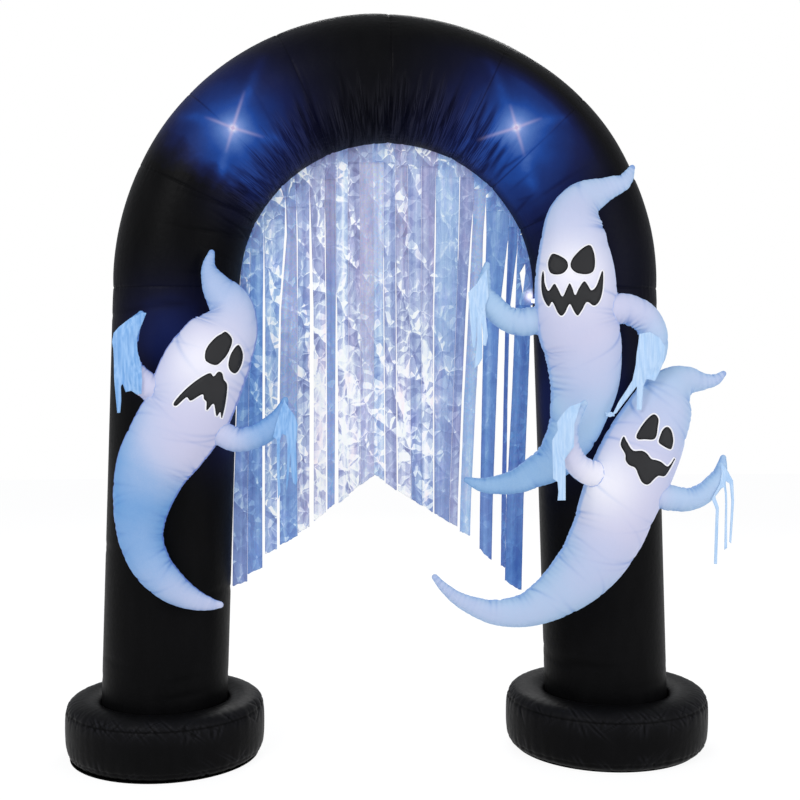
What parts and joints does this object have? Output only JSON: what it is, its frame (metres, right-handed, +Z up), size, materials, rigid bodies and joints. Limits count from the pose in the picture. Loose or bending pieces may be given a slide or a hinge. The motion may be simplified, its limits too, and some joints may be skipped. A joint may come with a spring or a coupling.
{
  "type": "inflatable halloween arch",
  "caption": "Inflatable walk-through arch with hooded ghosts on its legs, a slit shimmer-film curtain under the crown, weighted round bases, inner lamps, a rear blower and a zipped vent.",
  "frame": {"origin": "on the floor, in the middle of the whole object's footprint", "axes": "+X to the right of a person facing the front, +Y to the back, +Z up"},
  "size_m": [2.4186, 0.9248, 2.7459],
  "materials": {
    "black_nylon": "matt coated black nylon, lit from inside by blue lamps at the shoulders",
    "white_nylon": "thin white nylon, glowing from the lamp inside",
    "blue_nylon": "thin white nylon sprayed pale blue, glowing from inside",
    "film": "crinkled iridescent film",
    "white_cloth": "thin torn white cloth",
    "webbing": "woven black webbing",
    "black_plastic": "moulded, satin",
    "grey_plastic": "moulded, satin",
    "clear_lens": "clear moulded lamp cover, lit",
    "zinc": "plated die-cast zinc",
    "ballast_cloth": "plain woven bag"
  },
  "bodies": {
    "arch": {"crown_skin": "black_nylon", "curtain_header": "film", "curtain_spotlight": "clear_lens", "fan_collar": "black_nylon", "fan_grille": "black_plastic", "fan_housing": "black_plastic", "fan_motor": "grey_plastic", "ghost_tie_strap": "blue_nylon", "left_ballast_bag": "ballast_cloth", "left_base_floor": "black_nylon", "left_base_ring": "black_nylon", "left_crown_lamp": "clear_lens", "left_ghost_air_collar": "black_nylon", "left_ghost_body": "white_nylon", "left_ghost_lamp": "clear_lens", "left_ghost_left_arm": "blue_nylon", "left_ghost_right_arm": "blue_nylon", "left_leg_skin": "black_nylon", "left_stake_tab": "webbing", "left_tether_tab": "webbing", "lower_ghost_air_collar": "black_nylon", "lower_ghost_body": "white_nylon", "lower_ghost_lamp": "clear_lens", "lower_ghost_left_arm": "blue_nylon", "lower_ghost_right_arm": "blue_nylon", "power_inlet": "black_plastic", "right_ballast_bag": "ballast_cloth", "right_base_floor": "black_nylon", "right_base_ring": "black_nylon", "right_crown_lamp": "clear_lens", "right_leg_skin": "black_nylon", "right_stake_tab": "webbing", "right_tether_tab": "webbing", "upper_ghost_air_collar": "black_nylon", "upper_ghost_body": "white_nylon", "upper_ghost_lamp": "clear_lens", "upper_ghost_left_arm": "blue_nylon", "upper_ghost_right_arm": "blue_nylon", "zipper_tape": "webbing"},
    "curtain_strips_01": {"curtain_strips_01": "film"},
    "curtain_strips_02": {"curtain_strips_02": "film"},
    "curtain_strips_03": {"curtain_strips_03": "film"},
    "curtain_strips_04": {"curtain_strips_04": "film"},
    "curtain_strips_05": {"curtain_strips_05": "film"},
    "curtain_strips_06": {"curtain_strips_06": "film"},
    "curtain_strips_07": {"curtain_strips_07": "film"},
    "curtain_strips_08": {"curtain_strips_08": "film"},
    "curtain_strips_09": {"curtain_strips_09": "film"},
    "curtain_strips_10": {"curtain_strips_10": "film"},
    "curtain_strips_11": {"curtain_strips_11": "film"},
    "curtain_strips_12": {"curtain_strips_12": "film"},
    "fan_impeller": {"fan_impeller": "grey_plastic"},
    "left_ghost_left_hand_cloth": {"left_ghost_left_hand_cloth": "white_cloth"},
    "left_ghost_right_hand_cloth": {"left_ghost_right_hand_cloth": "white_cloth"},
    "lower_ghost_left_hand_cloth": {"lower_ghost_left_hand_cloth": "white_cloth"},
    "lower_ghost_right_hand_cloth": {"lower_ghost_right_hand_cloth": "white_cloth"},
    "upper_ghost_left_hand_cloth": {"upper_ghost_left_hand_cloth": "white_cloth"},
    "upper_ghost_right_hand_cloth": {"upper_ghost_right_hand_cloth": "white_cloth"},
    "zipper_pull": {"zipper_pull": "zinc"},
    "zipper_slider": {"zipper_slider": "zinc"}
  },
  "joints": [
    {"name": "curtain_strips_01_swing", "type": "hinge", "parent": "arch", "child": "curtain_strips_01", "pos_m": [-0.52729, 0.02238, 1.6691], "axis": [1, 0, 0], "range_deg": [-18, 60]},
    {"name": "curtain_strips_02_swing", "type": "hinge", "parent": "arch", "child": "curtain_strips_02", "pos_m": [-0.48517, 0.02238, 1.86229], "axis": [1, 0, 0], "range_deg": [-18, 60]},
    {"name": "curtain_strips_03_swing", "type": "hinge", "parent": "arch", "child": "curtain_strips_03", "pos_m": [-0.43457, 0.02238, 1.96669], "axis": [1, 0, 0], "range_deg": [-18, 60]},
    {"name": "curtain_strips_04_swing", "type": "hinge", "parent": "arch", "child": "curtain_strips_04", "pos_m": [-0.35198, 0.02238, 2.03086], "axis": [1, 0, 0], "range_deg": [-18, 60]},
    {"name": "curtain_strips_05_swing", "type": "hinge", "parent": "arch", "child": "curtain_strips_05", "pos_m": [-0.21441, 0.02238, 2.13326], "axis": [1, 0, 0], "range_deg": [-60, 60]},
    {"name": "curtain_strips_06_swing", "type": "hinge", "parent": "arch", "child": "curtain_strips_06", "pos_m": [-0.05497, 0.02238, 2.19591], "axis": [1, 0, 0], "range_deg": [-60, 60]},
    {"name": "curtain_strips_07_swing", "type": "hinge", "parent": "arch", "child": "curtain_strips_07", "pos_m": [0.11049, 0.02238, 2.18407], "axis": [1, 0, 0], "range_deg": [-60, 60]},
    {"name": "curtain_strips_08_swing", "type": "hinge", "parent": "arch", "child": "curtain_strips_08", "pos_m": [0.22809, 0.02238, 2.14341], "axis": [1, 0, 0], "range_deg": [-10, 60]},
    {"name": "curtain_strips_09_swing", "type": "hinge", "parent": "arch", "child": "curtain_strips_09", "pos_m": [0.2981, 0.02238, 2.10081], "axis": [1, 0, 0], "range_deg": [-10, 60]},
    {"name": "curtain_strips_10_swing", "type": "hinge", "parent": "arch", "child": "curtain_strips_10", "pos_m": [0.37741, 0.02238, 2.02036], "axis": [1, 0, 0], "range_deg": [-10, 60]},
    {"name": "curtain_strips_11_swing", "type": "hinge", "parent": "arch", "child": "curtain_strips_11", "pos_m": [0.44497, 0.02238, 1.96156], "axis": [1, 0, 0], "range_deg": [-10, 60]},
    {"name": "curtain_strips_12_swing", "type": "hinge", "parent": "arch", "child": "curtain_strips_12", "pos_m": [0.49501, 0.02238, 1.6691], "axis": [1, 0, 0], "range_deg": [-10, 60]},
    {"name": "fan_spin", "type": "hinge", "parent": "arch", "child": "fan_impeller", "pos_m": [0.83456, 0.42295, 0.112], "axis": [0, 1, 0], "continuous": true},
    {"name": "left_ghost_left_hand_cloth_swing", "type": "hinge", "parent": "arch", "child": "left_ghost_left_hand_cloth", "pos_m": [-0.91803, -0.3808, 1.4875], "axis": [1, 0, 0], "range_deg": [-35, 0]},
    {"name": "left_ghost_right_hand_cloth_swing", "type": "hinge", "parent": "arch", "child": "left_ghost_right_hand_cloth", "pos_m": [-0.42865, -0.37826, 1.2275], "axis": [1, 0, 0], "range_deg": [-35, 0]},
    {"name": "lower_ghost_left_hand_cloth_swing", "type": "hinge", "parent": "arch", "child": "lower_ghost_left_hand_cloth", "pos_m": [0.5776, -0.45043, 1.19], "axis": [1, 0, 0], "range_deg": [-35, 0]},
    {"name": "lower_ghost_right_hand_cloth_swing", "type": "hinge", "parent": "arch", "child": "lower_ghost_right_hand_cloth", "pos_m": [1.1501, -0.3723, 1.05], "axis": [1, 0, 0], "range_deg": [-35, 0]},
    {"name": "upper_ghost_left_hand_cloth_swing", "type": "hinge", "parent": "arch", "child": "upper_ghost_left_hand_cloth", "pos_m": [0.29256, -0.37728, 1.6975], "axis": [1, 0, 0], "range_deg": [-35, 0]},
    {"name": "upper_ghost_right_hand_cloth_swing", "type": "hinge", "parent": "arch", "child": "upper_ghost_right_hand_cloth", "pos_m": [0.83756, -0.37974, 1.48375], "axis": [1, 0, 0], "range_deg": [-35, 0]},
    {"name": "zip_pull_swing", "type": "hinge", "parent": "zipper_slider", "child": "zipper_pull", "pos_m": [-0.80843, 0.26081, 0.88], "axis": [1, 0, 0], "range_deg": [0, 170]},
    {"name": "zip_slide", "type": "slide", "parent": "arch", "child": "zipper_slider", "axis": [0.0381, 0, 0.9993], "range_m": [-0.34, 0]}
  ]
}
